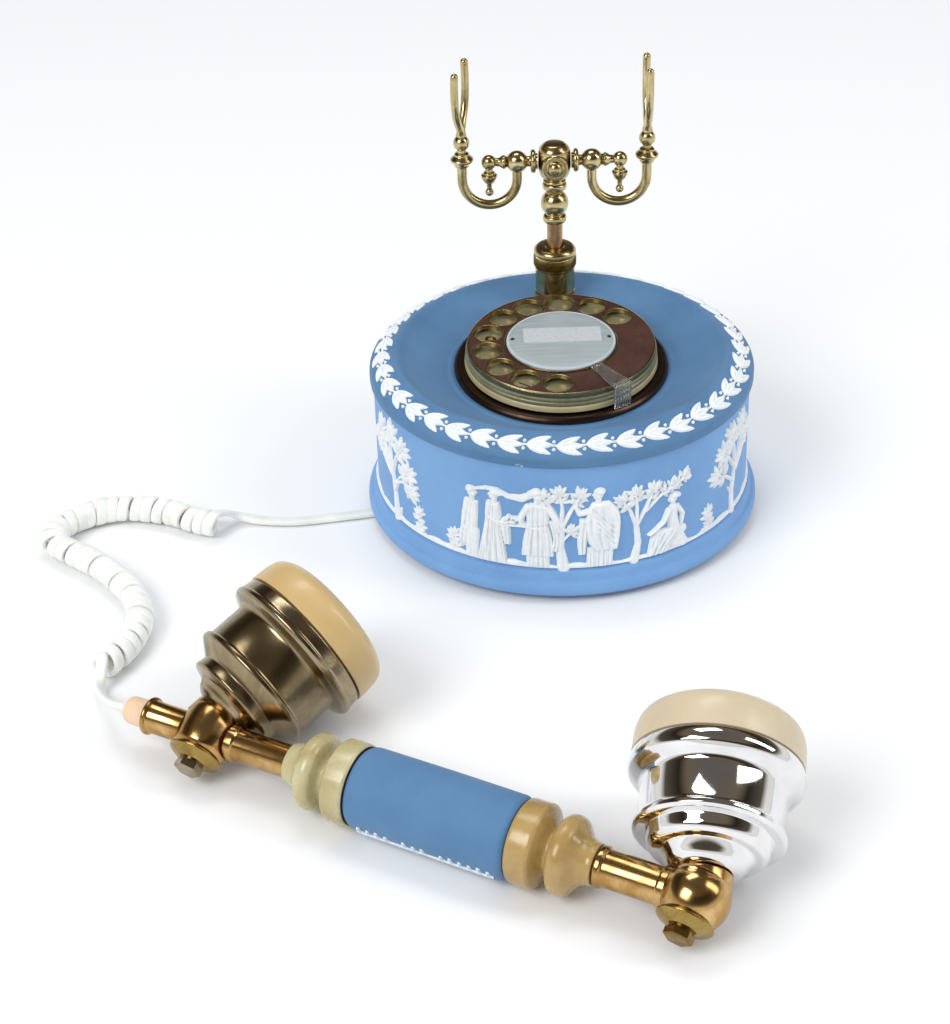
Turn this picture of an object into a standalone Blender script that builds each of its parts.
"""Compact bedroom telephone: jasperware drum, rotary dial, raised cradle and loose handset.

Origin on the drum's axis, on the surface that the telephone stands on. +Z is up, and -Y is
the front. All sizes below are millimetres; MM turns them into Blender's metres.
"""
from math import atan2, cos, hypot, pi, radians, sin

import bmesh
import bpy
from mathutils import Matrix, Vector

MM = 0.001
GAP = 0.3              # clearance between neighbouring pieces

# ---- drum and lid ---------------------------------------------------------------------
FLANGE_R = 80.3        # foot flange of the drum
FLANGE_Z = 3.0         # its underside, held up by the foot pad so that the cord passes
DRUM_R = 76.2          # outside of the wall
DRUM_WALL = 5.4
DRUM_TOP = 59.5
LID_R = 77.6
RIDGE_R = 67.2         # crest of the lid, inside the leafed bevel
RIDGE_Z = 69.7
SEAT_R = 44.5          # level land round the dial opening
SEAT_Z = 61.0
OPENING_R = 39.6
DISH_R = 66.0          # the lid's rake fades out towards this radius
DIAL_RAKE = radians(3.7)   # the dial leans towards the user
SCREW_ANGLES = [radians(a) for a in (50, 130, 270)]
SCREW_PITCH_R = 70.0   # screws that hold the base plate to the drum's ledge
SCREW_HOLE_R = 1.8
PLATE_TOP = 5.2
INLET_Z = 22.0         # height of the line inlet at the back

# ---- dial -----------------------------------------------------------------------------
WHEEL_Z = 72.0         # top of the finger wheel on the drum's axis
WHEEL_R = 38.0
HOLE_PITCH_R = 30.2
HOLE_R = 6.2
HOLES = 10
FIRST_HOLE = radians(37.8)
HOLE_STEP = radians(25.25)
STOP_ANGLE = radians(-57.2)
GEAR_R = 16.2
PINION_R = 4.3
GOVERNOR_X = 21.0

# ---- cradle ---------------------------------------------------------------------------
POST_Y = 52.0
SLEEVE_R = 8.25
NUT_Z = 80.5           # underside of the knurled nut
NUT_TOP = 89.8
ROD_R = 3.2
ARM_Z = 128.0          # axis of the turned cross arms
FORK_X = 37.8          # half the distance between the two forks
BEAD_X = 15.3
SMALL_BEAD_X = 26.8
U_BOTTOM_Z = 109.2
U_TUBE_R = 2.0
PRONG_R = 1.6
FORK_TURNS = {"left": radians(-14.0), "right": 0.0}    # the left fork has worked round
FORK_TOP = 169.6
LEVER_Y = 30.0         # pivot of the hook lever
LEVER_Z = 36.0

# ---- bell and circuit board -----------------------------------------------------------
GONG_X = 22.5
GONG_Y = -38.0
GONG_R = 17.6
CLAPPER_Y = -19.0
BOARD_TURN = radians(38)

# ---- handset --------------------------------------------------------------------------
TEE = (-132.45, -174.4, 14.85)  # centre of the barrel under the earpiece
HANDLE_YAW = radians(-29.0)
HANDLE_ROLL = radians(66.5)     # the cups lean back from vertical by this much
BALL_SPAN = 185.0
MIDDLE = 93.0          # middle of the grip, from the earpiece ball
EAR_TILT = radians(22.0)        # the cups lean in towards each other
MOUTH_TILT = radians(16.0)
GRIP_HALF = 30.2
GRIP_R = 14.4
CUP_R = 23.9
LIP_R = 29.2
CAP_R = 28.3
BALL_TO_CUP = 8.2      # from a ball's centre to the point that its cup tilts about
CUP_FLOOR = 2.2        # from there to the cup's underside
NECK_R = 9.2           # raised face of a ball that the cup stands on

# ---- cord -----------------------------------------------------------------------------
LEAD_R = 1.25          # half the thickness of the flat lead
CURL_R = 5.6           # outside of the curl
CURL_Z = 5.9
GLAND = (-65.2, -10.8, 0)       # where the cord comes through the base plate
BASE_LEAD = [(-70.65, -11.6, 1.4), (-79.3, -13.1, 1.4), (-92.5, -15.4, 1.4),
             (-110.2, -17.9, 1.4), (-124.7, -16.9, 1.7), (-132.0, -16.0, 3.0),
             (-136.6, -18.2, 5.2), (-138.5, -21.8, 6.6)]
CURL = [(-141.9, -25.5), (-153.3, -20.6), (-162.2, -15.2), (-172.0, -12.2), (-182.0, -11.2),
        (-191.6, -12.9), (-200.5, -18.2), (-207.3, -26.0), (-207.4, -34.6), (-201.4, -41.4),
        (-194.0, -46.9), (-186.1, -54.1), (-178.7, -62.8), (-171.6, -73.0), (-167.2, -85.7),
        (-166.6, -98.0), (-169.3, -107.4), (-173.0, -114.6), (-176.4, -120.0)]
HANDSET_LEAD = [(-176.9, -120.9, 3.9), (-178.1, -124.6, 3.0), (-177.0, -132.4, 3.4),
                (-173.6, -140.4, 6.0), (-169.9, -148.6, 10.2), (-166.3, -154.8, 13.6),
                (-162.2, -157.9, 14.85)]

# ---- facets round a turned piece ------------------------------------------------------
WIDE = 40
MEDIUM = 24
SEGMENTS = 18
FINE = 12


# ---- scene helpers --------------------------------------------------------------------
def clear_scene():
    for obj in list(bpy.data.objects):
        bpy.data.objects.remove(obj, do_unlink=True)


def new_collection(name):
    collection = bpy.data.collections.new(name)
    bpy.context.scene.collection.children.link(collection)
    return collection


clear_scene()
PARTS = new_collection("bedroom_telephone")
CUTTERS = new_collection("cutters")


def material(name, colour, roughness, metallic=0.0):
    mat = bpy.data.materials.new(name)
    mat.use_nodes = True
    shader = mat.node_tree.nodes["Principled BSDF"]
    shader.inputs["Base Color"].default_value = (*colour, 1.0)
    shader.inputs["Roughness"].default_value = roughness
    shader.inputs["Metallic"].default_value = metallic
    return mat


JASPER = ("jasper_blue", (0.13, 0.26, 0.52), 0.75, 0.0)
BRASS = ("antique_brass", (0.55, 0.42, 0.18), 0.25, 1.0)
COPPER = ("copper_gold", (0.72, 0.45, 0.22), 0.2, 1.0)
BRONZE = ("dark_bronze", (0.10, 0.06, 0.04), 0.35, 1.0)
CHROME = ("chrome", (0.75, 0.75, 0.76), 0.08, 1.0)
NICKEL = ("tarnished_nickel", (0.36, 0.32, 0.26), 0.3, 1.0)
IVORY = ("ivory", (0.82, 0.68, 0.42), 0.35, 0.0)
CREAM = ("cream_plastic", (0.87, 0.74, 0.54), 0.35, 0.0)
STEEL = ("steel", (0.5, 0.5, 0.52), 0.35, 1.0)
RUBBER = ("black_rubber", (0.03, 0.03, 0.03), 0.8, 0.0)
PHENOLIC = ("phenolic", (0.20, 0.10, 0.05), 0.6, 0.0)
CLEAR = ("clear_acrylic", (0.85, 0.86, 0.86), 0.08, 0.0)
SILVER = ("frosted_silver", (0.55, 0.58, 0.60), 0.4, 0.6)
CORD = ("white_cord", (0.85, 0.86, 0.82), 0.4, 0.0)
BLACK = ("black_plastic", (0.05, 0.05, 0.05), 0.5, 0.0)


def frame(name, location, rotation=(0.0, 0.0, 0.0), parent=None):
    """An empty that carries pieces built in their own local millimetres."""
    empty = bpy.data.objects.new(name, None)
    empty.empty_display_size = 0.01
    PARTS.objects.link(empty)
    empty.parent = parent
    empty.location = Vector(location) * MM
    empty.rotation_euler = rotation
    return empty


def adopt(obj, name, finish, parent=None, collection=PARTS):
    """Give a new object its name, its own material, its parent and its collection."""
    obj.name = name
    for owner in list(obj.users_collection):
        owner.objects.unlink(obj)
    collection.objects.link(obj)
    obj.parent = parent
    if collection is CUTTERS:
        obj.hide_render = True
        obj.display_type = "WIRE"
    else:
        obj.data.materials.append(material(f"{name}_{finish[0]}", *finish[1:]))
    return obj


def turned(name, profile, finish, parent=None, place=(0, 0, 0), turn=(0, 0, 0),
           segments=SEGMENTS, ring=False, collection=PARTS):
    """A lathe piece from (radius, height) points, top to bottom down its outer side."""
    mesh = bpy.data.meshes.new(name)
    points = [(r * MM, 0.0, h * MM) for r, h in profile]
    edges = [(i, i + 1) for i in range(len(points) - 1)]
    if ring:
        edges.append((len(points) - 1, 0))
    mesh.from_pydata(points, edges, [])
    obj = bpy.data.objects.new(name, mesh)
    adopt(obj, name, finish, parent, collection)
    obj.location = Vector(place) * MM
    obj.rotation_euler = turn
    screw = obj.modifiers.new("lathe", "SCREW")
    screw.steps = screw.render_steps = segments
    screw.use_merge_vertices = True
    screw.merge_threshold = 0.00001
    return obj


def rod_profile(radius, top, bottom, chamfer=0.0):
    """Profile of a solid cylinder, with its rims chamfered."""
    if not chamfer:
        return [(0, top), (radius, top), (radius, bottom), (0, bottom)]
    return [(0, top), (radius - chamfer, top), (radius, top - chamfer),
            (radius, bottom + chamfer), (radius - chamfer, bottom), (0, bottom)]


def tube_profile(outer, inner, top, bottom):
    """Profile of a plain ring or sleeve."""
    return [(outer, top), (outer, bottom), (inner, bottom), (inner, top)]


def ball_points(radius, centre, start, end, count):
    """Points of a round stretch, angles measured from +Z down its outer side."""
    step = (end - start) / (count - 1)
    angles = [start + i * step for i in range(count)]
    return [(radius * sin(a), centre + radius * cos(a)) for a in angles]


def block(name, size, centre, finish, parent=None, turn=(0, 0, 0), bevel=0.0,
          collection=PARTS):
    bpy.ops.mesh.primitive_cube_add(size=1.0)
    obj = bpy.context.object
    obj.data.transform(Matrix.Diagonal((size[0] * MM, size[1] * MM, size[2] * MM, 1.0)))
    adopt(obj, name, finish, parent, collection)
    obj.location = Vector(centre) * MM
    obj.rotation_euler = turn
    if bevel:
        edge = obj.modifiers.new("rounding", "BEVEL")
        edge.width = bevel * MM
        edge.segments = 1
    return obj


def smooth_route(points, spacing):
    """Evenly spaced points on a Catmull-Rom curve through the given ones."""
    dense = []
    last = len(points) - 1
    for i in range(last):
        a, b = points[max(i - 1, 0)], points[i]
        c, d = points[i + 1], points[min(i + 2, last)]
        for k in range(12):
            t = k / 12
            dense.append(0.5 * (2 * b + (c - a) * t + (2 * a - 5 * b + 4 * c - d) * t * t
                                + (3 * b - a - 3 * c + d) * t ** 3))
    dense.append(points[last])
    lengths = [0.0]
    for p, q in zip(dense, dense[1:]):
        lengths.append(lengths[-1] + (q - p).length)
    count = max(2, round(lengths[-1] / spacing))
    route, j = [], 0
    for i in range(count + 1):
        target = lengths[-1] * i / count
        while j < len(dense) - 2 and lengths[j + 1] < target:
            j += 1
        part = (target - lengths[j]) / max(lengths[j + 1] - lengths[j], 1e-9)
        route.append(dense[j].lerp(dense[j + 1], min(part, 1.0)))
    return route


def tube(name, points, radius, finish, parent=None, resolution=2, place=(0, 0, 0),
         turn=(0, 0, 0), collection=PARTS):
    """A round bar along the points, as a curve object with filled caps."""
    curve = bpy.data.curves.new(name, "CURVE")
    curve.dimensions = "3D"
    curve.bevel_depth = radius * MM
    curve.bevel_resolution = resolution
    curve.use_fill_caps = True
    spline = curve.splines.new("POLY")
    spline.points.add(len(points) - 1)
    for slot, point in zip(spline.points, points):
        slot.co = (point[0] * MM, point[1] * MM, point[2] * MM, 1.0)
    obj = bpy.data.objects.new(name, curve)
    adopt(obj, name, finish, parent, collection)
    obj.location = Vector(place) * MM
    obj.rotation_euler = turn
    return obj


def as_mesh(obj):
    """Swap a curve object for a welded mesh, so that a Boolean can use it."""
    bpy.context.view_layer.update()
    graph = bpy.context.evaluated_depsgraph_get()
    mesh = bpy.data.meshes.new_from_object(obj.evaluated_get(graph))
    data = bmesh.new()
    data.from_mesh(mesh)
    bmesh.ops.remove_doubles(data, verts=data.verts, dist=0.00001)
    bmesh.ops.recalc_face_normals(data, faces=data.faces)
    data.to_mesh(mesh)
    data.free()
    name, world, owner = obj.name, obj.matrix_world.copy(), obj.users_collection[0]
    bpy.data.objects.remove(obj, do_unlink=True)
    solid = bpy.data.objects.new(name, mesh)
    owner.objects.link(solid)
    solid.matrix_world = world
    solid.hide_render = owner is CUTTERS
    solid.display_type = "WIRE" if owner is CUTTERS else "TEXTURED"
    return solid


def combine(obj, tool, operation):
    modifier = obj.modifiers.new(operation.lower(), "BOOLEAN")
    modifier.operation = operation
    modifier.object = tool
    modifier.solver = "EXACT"


def cut(obj, *tools):
    for tool in tools:
        combine(obj, tool, "DIFFERENCE")


def fuse(obj, *tools):
    for tool in tools:
        combine(obj, tool, "UNION")


def drill(name, radius, top, bottom, place, parent=None, turn=(0, 0, 0), segments=16):
    """A cylindrical cutter."""
    return turned(name, rod_profile(radius, top, bottom), STEEL, parent, place, turn,
                  segments, collection=CUTTERS)


# ---- drum, lid and base ---------------------------------------------------------------
def make_drum():
    inner = DRUM_R - DRUM_WALL
    outside = [(DRUM_R, DRUM_TOP), (DRUM_R, 13.6), (77.8, 12.6), (79.6, 8.0),
               (FLANGE_R, 4.6), (FLANGE_R - 0.6, FLANGE_Z)]
    inside = [(74.8, FLANGE_Z), (74.8, 5.5), (65.5, 5.5), (65.5, 9.0), (inner, 11.5),
              (inner, DRUM_TOP)]
    drum = turned("jasper_drum", outside + inside, JASPER, segments=WIDE, ring=True)
    cut(drum, drill("inlet_hole", 4.4, 90, 60, (0, 0, INLET_Z), turn=(radians(-90), 0, 0)))
    for i, angle in enumerate(SCREW_ANGLES):
        spot = (SCREW_PITCH_R * cos(angle), SCREW_PITCH_R * sin(angle), 0)
        cut(drum, drill(f"ledge_hole_{i}", SCREW_HOLE_R, 12, 4, spot, segments=10))


def lid_surface_shift(radius, y):
    """How far the dial's rake lifts the lid at this radius."""
    share = (DISH_R - radius) / (DISH_R - SEAT_R)
    return y * sin(DIAL_RAKE) * min(max(share, 0.0), 1.0)


def make_lid():
    top = [(RIDGE_R, RIDGE_Z), (68.3, 69.4), (77.0, 64.4), (LID_R, 60.4),
           (77.0, DRUM_TOP + GAP)]
    under = [(70.4, DRUM_TOP + GAP), (70.4, 55.6), (66.3, 55.6), (66.3, 64.3),
             (47.0, 57.0), (OPENING_R, 56.3)]
    dish = [(OPENING_R, SEAT_Z), (SEAT_R, SEAT_Z), (55.0, 64.4), (63.0, 68.1)]
    lid = as_mesh(turned("jasper_lid", top + under + dish, JASPER, segments=WIDE, ring=True))
    for vertex in lid.data.vertices:
        x, y = vertex.co.x / MM, vertex.co.y / MM
        vertex.co.z += lid_surface_shift(hypot(x, y), y) * MM
    cut(lid, drill("post_hole", 6.9, 90, 40, (0, POST_Y, 0), segments=SEGMENTS),
        drill("post_spot_face", SLEEVE_R + 0.5, 90, 63.8, (0, POST_Y, 0), segments=SEGMENTS))


def make_base():
    plate = turned("base_plate", rod_profile(74.2, PLATE_TOP, 3.3), STEEL, segments=WIDE)
    for i, angle in enumerate(SCREW_ANGLES):
        spot = (SCREW_PITCH_R * cos(angle), SCREW_PITCH_R * sin(angle), 0)
        cut(plate, drill(f"plate_hole_{i}", SCREW_HOLE_R, 8, 1, spot, segments=10))
        head = [(0, 9.0), (1.4, 9.0), (1.4, 3.0), (3.2, 3.0), (2.6, 1.6), (0, 1.6)]
        turned(f"base_screw_{i + 1}", head, STEEL, place=spot, segments=10)
    cut(plate, drill("gland_hole", 3.4, 8, 1, GLAND))
    turned("foot_pad", rod_profile(60.0, 3.0, 0.0, 0.6), RUBBER, segments=WIDE)


def make_gland():
    direction = atan2(BASE_LEAD[1][1] - BASE_LEAD[0][1], BASE_LEAD[1][0] - BASE_LEAD[0][0])
    gland = block("cord_gland", (8.0, 7.0, 2.4), (-66.4, -10.9, 1.6), BLACK,
                  turn=(0, 0, direction), bevel=0.4)
    fuse(gland, turned("gland_stem", rod_profile(3.0, PLATE_TOP, 1.2), BLACK, place=GLAND,
                       segments=FINE, collection=CUTTERS))


def make_inlet():
    """Grommet for the line cord at the back of the wall."""
    bush = [(6.0, 79.0), (6.0, 76.6), (4.0, 76.6), (4.0, 69.0), (2.5, 69.0), (2.5, 79.0)]
    turned("line_inlet", bush, BLACK, place=(0, 0, INLET_Z),
           turn=(radians(-90), 0, 0), segments=FINE, ring=True)


# ---- dial -----------------------------------------------------------------------------
def hole_angle(i):
    return FIRST_HOLE + i * HOLE_STEP


def make_dial(dial, rotor):
    """Pieces in the raked frame, heights measured from the top of the finger wheel."""
    bezel = [(40.9, -8.5), (42.8, -9.4), (43.2, -10.7), (37.5, -10.7), (37.5, -8.5)]
    turned("dial_bezel", bezel, BRONZE, dial, segments=WIDE, ring=True)
    cream = [(39.4, -4.9), (40.2, -8.2), (37.5, -8.2), (37.5, -4.9)]
    turned("number_ring", cream, CREAM, dial, segments=WIDE, ring=True)
    case = [(38.4, -2.1), (38.9, -4.6), (37.1, -4.6), (37.1, -19.0), (35.6, -19.0),
            (35.6, -5.4), (3.4, -5.4), (3.4, -3.4), (36.0, -3.4), (36.0, -2.1)]
    turned("dial_case", case, BRASS, dial, segments=WIDE, ring=True)

    rim = [(3.3, 0.0), (37.4, 0.0), (WHEEL_R, -0.5), (WHEEL_R, -1.8), (37.1, -1.8),
           (37.1, -1.2), (3.3, -1.2)]
    wheel = turned("finger_wheel", rim, BRONZE, rotor, segments=WIDE, ring=True)
    for i in range(HOLES):
        spot = (HOLE_PITCH_R * cos(hole_angle(i)), HOLE_PITCH_R * sin(hole_angle(i)), 0)
        cut(wheel, drill(f"finger_hole_{i}", HOLE_R, 3, -3, spot, rotor, segments=FINE))
    label = [(0, 2.0), (20.6, 1.6), (22.0, 0.9), (22.0, 0.3), (0, 0.3)]
    turned("centre_label", label, SILVER, rotor, segments=MEDIUM)
    turned("dial_spindle", rod_profile(3.0, -0.4, -18.0), STEEL, rotor, segments=FINE)
    turned("main_gear", tube_profile(GEAR_R, 3.3, -8.6, -10.2), BRASS, rotor, ring=True)

    plate = turned("mechanism_plate", tube_profile(35.2, 3.4, -16.2, -17.4), STEEL, dial,
                   segments=MEDIUM, ring=True)
    cut(plate, drill("governor_bearing", 1.6, -14, -19, (GOVERNOR_X, 0, 0), dial, segments=FINE))
    contacts = block("pulse_contacts", (9, 5, 1.4), (-22, -9, -9), PHENOLIC, dial)
    for level in (-11.4, -13.8):
        fuse(contacts, block(f"contact_leaf_{level}", (14, 4, 0.8), (-20, -9, level), PHENOLIC,
                             dial, collection=CUTTERS))
    fuse(contacts, block("contact_stack", (5, 5, 6.6), (-25, -9, -12.4), PHENOLIC, dial,
                         collection=CUTTERS))
    make_finger_stop(dial)


def make_finger_stop(dial):
    """Clear tongue over the wheel, bent down outside it on to the bezel."""
    outline = bpy.data.curves.new("finger_stop", "CURVE")
    outline.dimensions = "2D"
    outline.fill_mode = "BOTH"
    outline.extrude = 0.65 * MM
    corners = [(23.2, 2.3), (23.2, -2.3), (41.8, -4.0), (41.8, 4.0)]
    spline = outline.splines.new("POLY")
    spline.points.add(len(corners) - 1)
    for slot, (x, y) in zip(spline.points, corners):
        slot.co = (x * MM, y * MM, 0.0, 1.0)
    spline.use_cyclic_u = True
    tongue = bpy.data.objects.new("finger_stop", outline)
    adopt(tongue, "finger_stop", CLEAR, dial)
    tongue.location = (0, 0, 1.45 * MM)
    tongue.rotation_euler = (0, 0, STOP_ANGLE)
    tongue = as_mesh(tongue)
    leg = block("stop_leg", (1.3, 7.6, 10.0), (41.15 * cos(STOP_ANGLE), 41.15 * sin(STOP_ANGLE),
                -3.2), CLEAR, dial, turn=(0, 0, STOP_ANGLE), collection=CUTTERS)
    fuse(tongue, leg)


def make_governor(dial):
    pivot = frame("governor_axis", (GOVERNOR_X, 0, 0), parent=dial)
    shaft = [(0, -6.2), (1.2, -6.2), (1.2, -8.4), (PINION_R, -8.4), (PINION_R, -10.4),
             (1.2, -10.4), (1.2, -17.0), (0, -17.0)]
    governor = turned("governor", shaft, BRASS, pivot, segments=14)
    fuse(governor, block("governor_fly", (13, 3, 2.0), (0, 0, -14.4), BRASS, pivot,
                         collection=CUTTERS))


# ---- cradle ---------------------------------------------------------------------------
def make_post(fixed, plunger):
    sleeve = [(SLEEVE_R, NUT_Z - GAP), (SLEEVE_R, 70.4), (7.6, 69.6), (8.5, 68.8),
              (8.5, 67.6), (SLEEVE_R, 64.1), (6.5, 64.1), (6.5, 50.0), (3.5, 50.0),
              (3.5, NUT_Z - GAP)]
    turned("post_sleeve", sleeve, BRASS, fixed, ring=True)
    nut = [(7.9, NUT_TOP), (8.9, NUT_TOP - 0.9), (8.9, NUT_Z + 0.8), (8.3, NUT_Z),
           (3.5, NUT_Z), (3.5, NUT_TOP)]
    turned("collar_nut", nut, BRASS, fixed, segments=MEDIUM, ring=True)
    turned("post_rod", rod_profile(ROD_R, 100.6, 41.0), BRASS, plunger, segments=14)
    baluster = [(0, 118.4), (4.7, 118.4), (5.2, 117.0), (4.4, 115.0)]
    baluster += ball_points(5.7, 109.4, radians(50), radians(138), 5)
    baluster += [(4.8, 104.2), (4.8, 101.6), (4.2, 100.9), (0, 100.9)]
    turned("post_baluster", baluster, BRASS, plunger, segments=14)
    dome = ball_points(9.2, 126.9, 0, radians(43), 3)
    body = dome + [(6.6, 131.6), (6.5, 122.6), (4.6, 118.7), (0, 118.7)]
    cross = turned("cross_block", body, BRASS, plunger)
    boss = ball_points(3.2, 6.6, 0, radians(75), 4)
    boss += [(5.0, 7.2), (5.4, 6.2), (5.4, 2.0), (0, 2.0)]
    fuse(cross, turned("cross_boss", boss, BRASS, plunger, (0, 0, ARM_Z - 0.6),
                       (radians(90), 0, 0), segments=14, collection=CUTTERS))


def make_arm(plunger, side, sign):
    """Turned cross arm with its pendant finial, lying along X away from the block."""
    axis = frame(f"arm_axis_{side}", (0, 0, ARM_Z), (0, sign * radians(90), 0), plunger)
    small = ball_points(3.1, SMALL_BEAD_X, 0, radians(145), 5)
    big = ball_points(4.5, BEAD_X, radians(32), radians(150), 5)
    profile = small + [(1.7, 23.4), (2.9, 20.4)] + big
    profile += [(2.2, 10.0), (4.9, 9.3), (4.9, 7.3), (3.4, 6.9), (0, 6.9)]
    arm = turned(f"turned_arm_{side}", profile, BRASS, axis, segments=14)
    finial = [(0, ARM_Z - 1.0), (1.5, ARM_Z - 1.0), (1.5, 123.9), (3.3, 122.0),
              (1.0, 117.8), (1.6, 114.8), (0.8, 113.0), (0, 113.0)]
    fuse(arm, turned(f"finial_{side}", finial, BRASS, plunger, segments=10,
                     place=(sign * SMALL_BEAD_X, 0, 0), collection=CUTTERS))


def make_u_arm(plunger, side, sign):
    half = (FORK_X - BEAD_X) / 2
    centre = (FORK_X + BEAD_X) / 2
    middle_z = U_BOTTOM_Z + half
    points = [(BEAD_X, 0, ARM_Z - 5.0)]
    for i in range(13):
        angle = pi + i * pi / 12
        points.append((centre + half * cos(angle), 0, middle_z + half * sin(angle)))
    points.append((FORK_X, 0, 126.2))
    tube(f"u_arm_{side}", [(sign * x, y, z) for x, y, z in points], U_TUBE_R, BRASS, plunger)


def make_fork(plunger, side, sign):
    """Turned collar and ball that carry two prongs, one behind the other."""
    stem = [(0, 143.4), (1.9, 143.2)] + ball_points(3.3, 136.9, radians(35), radians(150), 5)
    stem += [(1.6, 133.0), (3.0, 131.9), (4.7, 129.6), (4.5, 128.4), (2.7, 126.6), (0, 126.5)]
    seat, turn = (sign * FORK_X, 0, 0), (0, 0, FORK_TURNS[side])
    fork = turned(f"fork_{side}", stem, BRASS, plunger, seat, turn, segments=14)
    for depth, label in ((1, "back"), (-1, "front")):
        path = [(0, depth * 0.2, 139.5), (0, depth * 1.6, 143.4), (0, depth * 4.6, 146.6),
                (0, depth * 7.4, 151.0), (0, depth * 8.9, 156.5), (0, depth * 9.1, 162.0),
                (0, depth * 8.6, FORK_TOP - 2.4), (0, depth * 8.4, FORK_TOP)]
        prong = tube(f"prong_{label}_{side}", path, PRONG_R, BRASS, plunger, 1, seat, turn,
                     CUTTERS)
        fuse(fork, as_mesh(prong))


def make_hook():
    """Lever under the post rod, and the bracket that it swings in."""
    pivot = frame("hook_axis", (0, LEVER_Y, LEVER_Z))
    lever = block("hook_lever", (7.0, 31.0, 2.4), (0, 12.5, 3.1), STEEL, pivot)
    fuse(lever, turned("lever_pin", rod_profile(1.5, 9.0, -9.0), STEEL, pivot,
                       turn=(0, radians(90), 0), segments=12, collection=CUTTERS),
         block("lever_hub", (7.0, 6.0, 5.0), (0, 0, 1.2), STEEL, pivot, collection=CUTTERS))
    bracket = block("hook_bracket", (18.0, 22.0, 2.0), (0, LEVER_Y, 6.6), STEEL)
    for sign in (-1, 1):
        cheek = block(f"bracket_cheek_{sign}", (1.6, 9.0, 33.0),
                      (sign * 6.4, LEVER_Y, 22.6), STEEL, collection=CUTTERS)
        fuse(bracket, cheek)
    switch = block("switch_body", (10.0, 12.0, 12.0), (0, LEVER_Y - 2, 12.5), STEEL,
                   collection=CUTTERS)
    fuse(bracket, switch)
    cut(bracket, drill("lever_pin_hole", 1.9, 12, -12, (0, LEVER_Y, LEVER_Z),
                       turn=(0, radians(90), 0), segments=12))


# ---- bell and electrical pieces -------------------------------------------------------
def make_ringer():
    for side, x in (("left", -GONG_X), ("right", GONG_X)):
        dome = [(0, 24.0), (8.0, 23.0), (14.0, 19.8), (GONG_R, 12.0), (16.5, 12.0),
                (13.2, 18.6), (7.6, 21.6), (2.5, 22.2), (2.5, 5.6), (0, 5.6)]
        turned(f"gong_{side}", dome, BRASS, place=(x, GONG_Y, 0))
    coil = turned("ringer_coil", rod_profile(7.0, 12.0, -12.0, 0.8), COPPER,
                  place=(0, -8.0, 15.0), turn=(0, radians(90), 0), segments=14)
    fuse(coil, block("ringer_frame", (34.0, 10.0, 5.0), (0, -8.0, 8.1), STEEL,
                     collection=CUTTERS))
    pivot = frame("clapper_axis", (0, CLAPPER_Y, 14.0))
    reach = GONG_Y - CLAPPER_Y
    arm = block("clapper", (2.0, 17.0, 2.0), (0, reach / 2, 0), STEEL, pivot)
    ball = turned("clapper_ball", ball_points(3.6, 0, 0, pi, 6), STEEL, pivot,
                  place=(0, reach, 0), segments=10, collection=CUTTERS)
    hub = turned("clapper_hub", rod_profile(3.0, 3.0, -3.0), STEEL, pivot, segments=FINE,
                 collection=CUTTERS)
    fuse(arm, ball, hub)


def make_electrics():
    turn = (0, 0, BOARD_TURN)
    board = block("circuit_board", (46.0, 26.0, 1.6), (30.0, 24.0, 9.0), PHENOLIC, turn=turn)
    coil = block("induction_coil", (16.0, 12.0, 11.0), (34.0, 21.0, 15.0), COPPER, turn=turn,
                 collection=CUTTERS)
    post = block("board_post", (5.0, 5.0, 3.2), (30.0, 24.0, 7.1), PHENOLIC, turn=turn,
                 collection=CUTTERS)
    fuse(board, coil, post)


# ---- handset --------------------------------------------------------------------------
def make_handle(handle):
    """Tubes, ivory collars and jasper grip, turned about the handle's own X axis."""
    along = frame("handle_axis", (0, 0, 0), (0, radians(90), 0), handle)
    flip = frame("handle_axis_back", (2 * MIDDLE, 0, 0), (0, radians(-90), 0), handle)
    mid, half = MIDDLE, GRIP_HALF

    turned("core_tube", tube_profile(3.6, 2.4, BALL_SPAN - 12.5, 11.2), STEEL, along,
           segments=FINE, ring=True)
    turned("tube_left", tube_profile(5.9, 3.9, mid - 58.4, 10.4), COPPER, along, ring=True)
    turned("tube_right", tube_profile(6.4, 3.9, BALL_SPAN - 11.3, mid + 58.4), COPPER, along,
           ring=True)
    grip = [(GRIP_R - 1.2, mid + half), (GRIP_R, mid + half - 1.6), (GRIP_R, mid - half + 1.6),
            (GRIP_R - 1.2, mid - half), (3.9, mid - half), (3.9, mid + half)]
    turned("jasper_grip", grip, JASPER, along, segments=MEDIUM, ring=True)

    shoulder = [(7.2, mid + 58.1), (7.6, mid + 55.0), (11.2, mid + 50.8)]
    bulb = [(13.4, mid + 47.6), (12.4, mid + 45.2), (8.5, mid + 42.8)]
    ring = [(8.6, mid + 41.4), (14.2, mid + 40.1), (14.6, mid + 38.2), (14.4, mid + 31.0),
            (14.0, mid + half + GAP), (3.9, mid + half + GAP), (3.9, mid + 58.1)]
    for side, axis in (("right", along), ("left", flip)):
        turned(f"ivory_collar_{side}", shoulder + bulb + ring, IVORY, axis, ring=True)


def seat_cutter(name, cup_axis):
    """Clears everything above the tilted face that a cup stands on."""
    return block(name, (40.0, 40.0, 20.0), (0, 0, CUP_FLOOR - GAP + 10.0), STEEL, cup_axis,
                 collection=CUTTERS)


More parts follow.
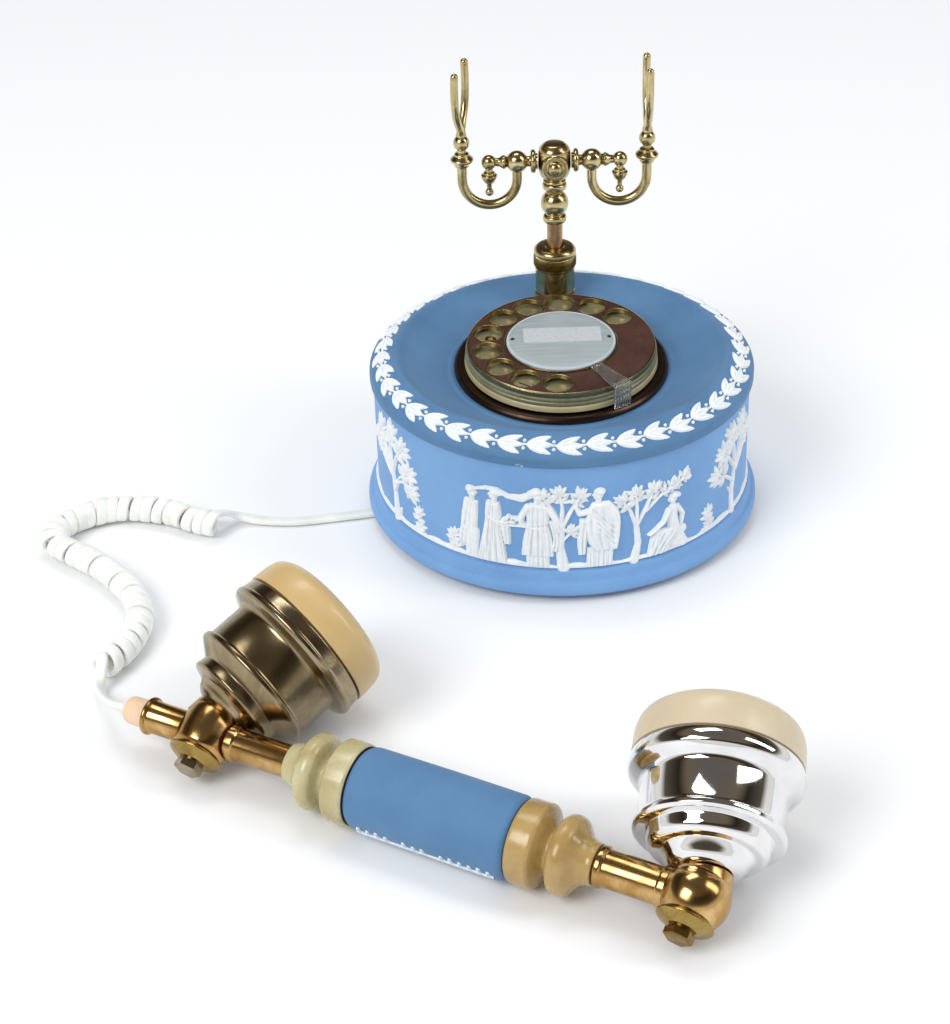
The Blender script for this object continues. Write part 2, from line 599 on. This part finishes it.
def make_tee(handle, cup_axis):
    """Barrel under the earpiece, with the stub that the cord enters."""
    barrel = [(0, 15.0), (NECK_R, 15.0), (NECK_R, 8.2), (9.9, 6.6), (10.3, 0), (9.6, -7.0),
              (8.8, -7.8), (0, -7.8)]
    tee = turned("tee_left", barrel, COPPER, handle)
    stub = [(0, 20.0), (3.2, 20.0), (3.2, 24.6), (6.9, 24.6), (6.9, 22.9), (5.9, 22.3),
            (5.9, 6.0), (0, 6.0)]
    fuse(tee, turned("tee_stub", stub, COPPER, handle, turn=(0, radians(-90), 0),
                     collection=CUTTERS))
    cut(tee, seat_cutter("ear_seat_cutter", cup_axis))
    bush = [(3.4, 33.6), (4.9, 32.6), (5.2, 24.9), (2.9, 24.9), (2.9, 20.6), (1.6, 20.6),
            (1.6, 33.6)]
    turned("cord_bush", bush, IVORY, handle, turn=(0, radians(-90), 0), segments=FINE,
           ring=True)


def make_ball(handle, cup_axis):
    """End ball under the mouthpiece."""
    body = [(0, 15.0), (NECK_R, 15.0)] + ball_points(11.6, 0, radians(52.5), radians(132), 6)
    body += [(8.6, -7.8), (0, -7.8)]
    ball = turned("ball_right", body, COPPER, handle, place=(BALL_SPAN, 0, 0))
    socket = turned("ball_socket", rod_profile(7.2, 12.4, 5.0), COPPER, handle,
                    place=(BALL_SPAN, 0, 0), turn=(0, radians(-90), 0), collection=CUTTERS)
    fuse(ball, socket)
    cut(ball, seat_cutter("mouth_seat_cutter", cup_axis),
        drill("socket_bore", 6.7, 14, 10.9, (BALL_SPAN, 0, 0), handle,
              turn=(0, radians(-90), 0), segments=SEGMENTS))


def make_clamp(handle, side, x):
    """Dished washer and hexagon bolt that clamp a cup through its ball."""
    washer = [(0, -8.1), (9.3, -8.1), (9.9, -8.8), (9.5, -9.7), (5.8, -11.6), (0, -11.6)]
    turned(f"washer_{side}", washer, NICKEL, handle, place=(x, 0, 0))
    turned(f"clamp_bolt_{side}", rod_profile(5.1, -11.9, -15.6, 0.5), NICKEL, handle,
           place=(x, 0, 0), segments=6)


def make_cup(axis, side, finish, capsule):
    """Cup, cap and capsule, heights measured from the ball's centre along the cup's axis."""
    inner = [(0, 14.2), (8.0, 14.6), (21.6, 23.0), (21.6, 40.4), (26.6, 43.4), (26.6, 49.0)]
    outer = [(CAP_R, 49.0), (LIP_R, 43.6), (LIP_R, 42.2), (28.0, 41.0), (CUP_R, 39.6),
             (CUP_R, 25.2), (24.9, 24.6), (24.8, 22.6), (18.8, 18.8), (18.8, 14.6),
             (12.6, 12.2), (10.2, BALL_TO_CUP + CUP_FLOOR), (0, BALL_TO_CUP + CUP_FLOOR)]
    turned(f"{side}_cup", lowered(inner + outer), finish, axis, segments=MEDIUM)
    dome = [(0, 65.0), (16.0, 64.6), (23.6, 63.4), (27.2, 60.8), (CAP_R, 56.6), (CAP_R, 49.3)]
    skirt = [(26.2, 49.3), (26.2, 45.0), (24.4, 45.0), (24.4, 56.0), (16.0, 61.6), (0, 62.2)]
    cap = turned(f"{side}_cap", lowered(dome + skirt), CREAM, axis, segments=MEDIUM)
    for i in range(7):
        reach, angle = (9.0, i * pi / 3) if i else (0.0, 0.0)
        spot = (reach * cos(angle), reach * sin(angle), 0)
        cut(cap, drill(f"{side}_port_{i}", 1.5, 60, 48, spot, axis, segments=6))
    turned(capsule, lowered(rod_profile(20.8, 44.0, 28.0)), STEEL, axis)


def lowered(profile):
    """Heights above the ball's centre, brought to the cup's own tilted frame."""
    return [(r, h - BALL_TO_CUP) for r, h in profile]


def make_handset():
    handle = frame("handset_frame", TEE, (0, 0, HANDLE_YAW))
    rolled = frame("handset_roll", (0, 0, 0), (-HANDLE_ROLL, 0, 0), handle)
    ear = frame("ear_axis", (0, 0, BALL_TO_CUP), (0, EAR_TILT, 0), rolled)
    mouth = frame("mouth_axis", (BALL_SPAN, 0, BALL_TO_CUP), (0, -MOUTH_TILT, 0), rolled)
    make_handle(rolled)
    make_tee(rolled, ear)
    make_ball(rolled, mouth)
    make_clamp(rolled, "left", 0)
    make_clamp(rolled, "right", BALL_SPAN)
    make_cup(ear, "ear", NICKEL, "receiver_capsule")
    make_cup(mouth, "mouth", CHROME, "microphone_capsule")


# ---- cord -----------------------------------------------------------------------------
def make_cord():
    lead = smooth_route([Vector(p) for p in BASE_LEAD], 6.0)
    tube("cord_lead_base", lead, LEAD_R, CORD)
    curl = smooth_route([Vector((x, y, CURL_Z)) for x, y in CURL], 9.0)
    tube("cord_curl", curl, CURL_R, CORD, resolution=2)
    lead = smooth_route([Vector(p) for p in HANDSET_LEAD], 5.0)
    tube("cord_lead_handset", lead, LEAD_R, CORD)


def main():
    make_drum()
    make_lid()
    make_base()
    make_gland()
    make_inlet()
    dial = frame("dial_frame", (0, 0, WHEEL_Z), (DIAL_RAKE, 0, 0))
    rotor = frame("dial_axis", (0, 0, 0), parent=dial)
    make_dial(dial, rotor)
    make_governor(dial)
    fixed = frame("post_frame", (0, POST_Y, 0))
    plunger = frame("cradle_axis", (0, POST_Y, 0))
    make_post(fixed, plunger)
    for side, sign in (("left", -1), ("right", 1)):
        make_arm(plunger, side, sign)
        make_u_arm(plunger, side, sign)
        make_fork(plunger, side, sign)
    make_hook()
    make_ringer()
    make_electrics()
    make_handset()
    make_cord()


main()
